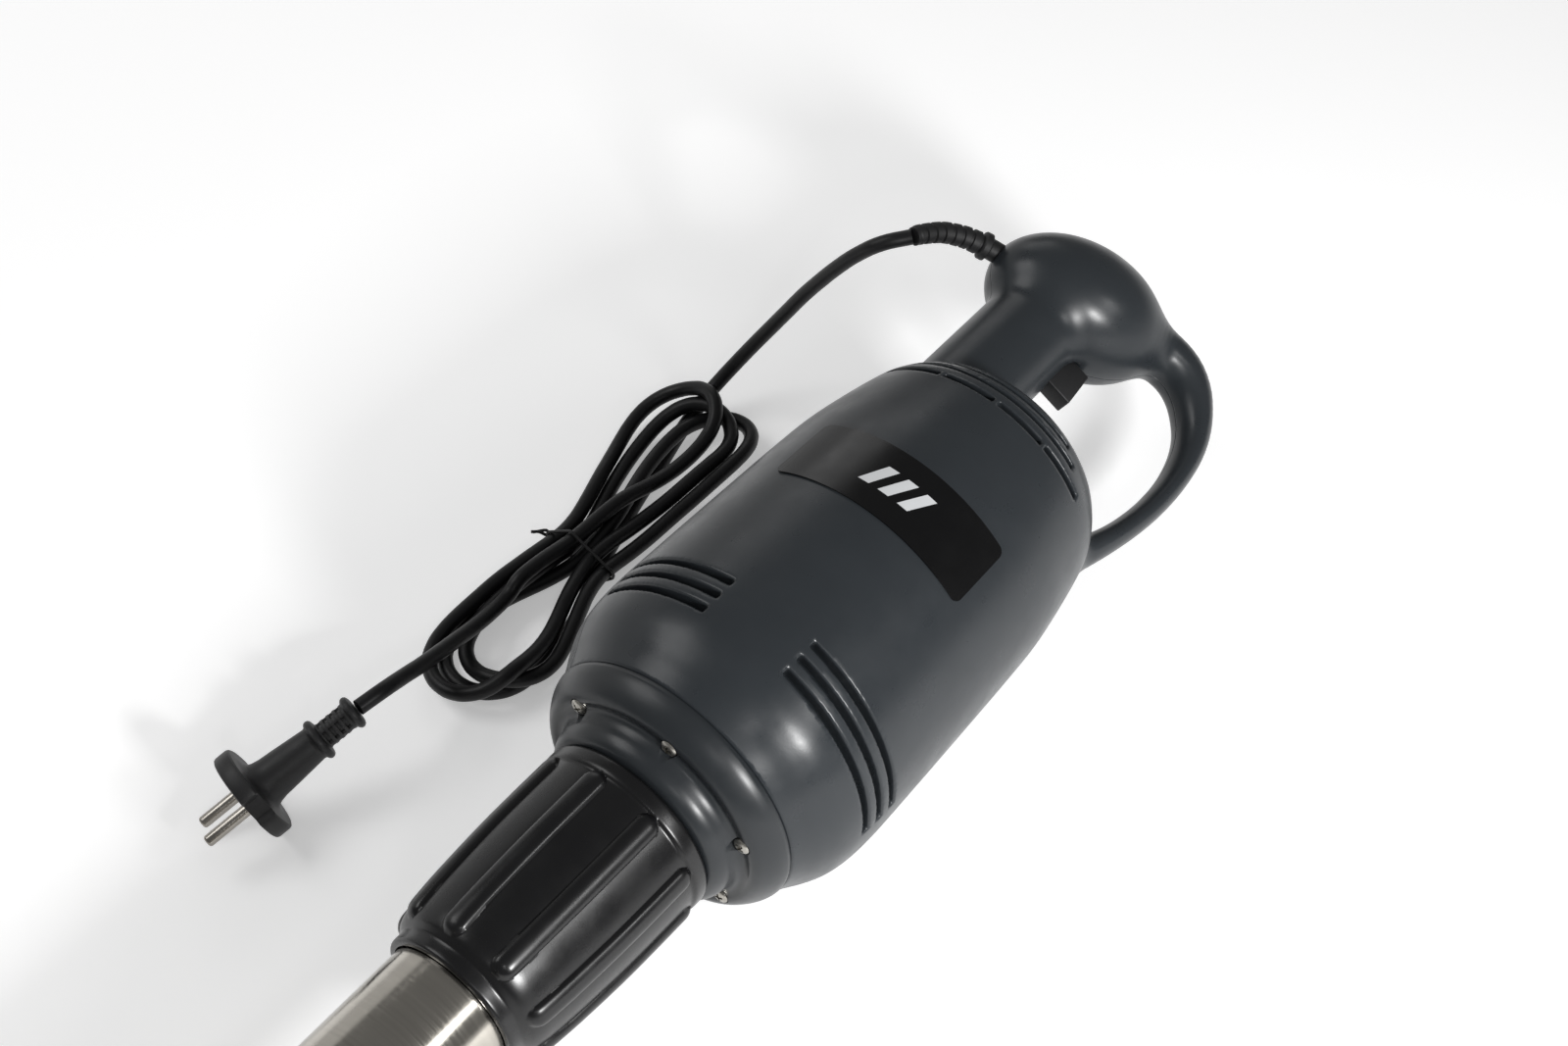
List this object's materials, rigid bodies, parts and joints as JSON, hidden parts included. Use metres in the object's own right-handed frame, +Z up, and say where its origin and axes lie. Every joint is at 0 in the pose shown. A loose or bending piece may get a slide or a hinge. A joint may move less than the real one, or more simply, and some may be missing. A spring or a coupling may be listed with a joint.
{
  "type": "immersion blender",
  "caption": "Professional stick blender: ball grip with a guard loop, ribbed coupling nut, detachable steel shaft with a bell guard, mains cord and plug.",
  "frame": {"origin": "middle of the tool's bounding box, on the floor that it lies on; the cord, plug and strain relief are left out of the box", "axes": "+X along the tool from the blade towards the handle, +Z up, and the guard loop points towards -Y and a little down"},
  "size_m": [0.7406, 0.2259, 0.1264],
  "materials": {
    "housing_plastic": "satin moulded dark slate grey",
    "flange_plastic": "satin moulded slate grey",
    "nut_plastic": "semi-gloss moulded black",
    "label_gloss": "glossy black film",
    "black_plastic": "matte black",
    "cord_pvc": "smooth black cord sheath",
    "rubber": "matte black rubber",
    "stainless": "polished stainless steel",
    "steel": "machined steel",
    "nickel": "nickel plated",
    "cast_aluminium": "as cast",
    "copper": "varnished copper wire",
    "brass": "satin",
    "carbon": "carbon",
    "grey_nylon": "moulded nylon"
  },
  "bodies": {
    "motor_unit": {"bottom_flange": "flange_plastic", "brush_holder_left": "brass", "brush_holder_right": "brass", "capacitor": "black_plastic", "carbon_brush_left": "carbon", "carbon_brush_right": "carbon", "cord_hank": "cord_pvc", "field_coil_left": "copper", "field_coil_right": "copper", "flange_screw_1": "steel", "flange_screw_2": "steel", "flange_screw_3": "steel", "flange_screw_4": "steel", "flange_screw_5": "steel", "flange_screw_6": "steel", "housing_front": "housing_plastic", "housing_rear": "housing_plastic", "housing_screw_1": "steel", "housing_screw_2": "steel", "housing_screw_3": "steel", "label_plate": "label_gloss", "lead_cord": "cord_pvc", "lower_bearing": "steel", "lower_bracket": "cast_aluminium", "motor_seal": "rubber", "plug_body": "black_plastic", "plug_cord": "cord_pvc", "plug_pin_1": "nickel", "plug_pin_2": "nickel", "stator_core": "steel", "strain_relief": "rubber", "switch_body": "black_plastic", "terminal_block": "grey_nylon", "upper_bearing": "steel", "upper_bracket": "cast_aluminium"},
    "rotor": {"rotor_shaft": "steel", "armature_core": "steel", "armature_winding_lower": "copper", "armature_winding_upper": "copper", "commutator": "copper", "cooling_fan": "grey_nylon", "drive_dog": "steel"},
    "trigger": {"trigger_button": "black_plastic"},
    "coupling_nut": {"coupling_nut": "nut_plastic"},
    "shaft_assembly": {"shaft_tube": "stainless", "shaft_collar": "steel", "collar_bearing": "steel", "bell_guard": "stainless", "bell_bearing": "steel", "bell_seal": "rubber"},
    "blade_line": {"blade_shaft": "stainless", "drive_socket": "steel", "blade": "stainless", "blade_screw": "stainless"}
  },
  "joints": [
    {"name": "rotor_spin", "type": "hinge", "parent": "motor_unit", "child": "rotor", "pos_m": [0, 0, 0.0632], "axis": [1, 0, 0], "continuous": true},
    {"name": "trigger_press", "type": "slide", "parent": "motor_unit", "child": "trigger", "axis": [0, 0.866, 0.5], "range_m": [0, 0.004], "stiffness_N_per_m": 400, "springref_m": -0.004},
    {"name": "shaft_release", "type": "slide", "parent": "motor_unit", "child": "shaft_assembly", "axis": [-1, 0, 0], "range_m": [0, 0.06]},
    {"name": "nut_turn", "type": "hinge", "parent": "shaft_assembly", "child": "coupling_nut", "pos_m": [-0.07, 0, 0.0632], "axis": [1, 0, 0], "range_deg": [0, 180]},
    {"name": "blade_spin", "type": "hinge", "parent": "shaft_assembly", "child": "blade_line", "pos_m": [0, 0, 0.0632], "axis": [1, 0, 0], "continuous": true}
  ],
  "couplings": [
    {"joint": "blade_spin", "follows": "rotor_spin", "ratio": 1}
  ]
}
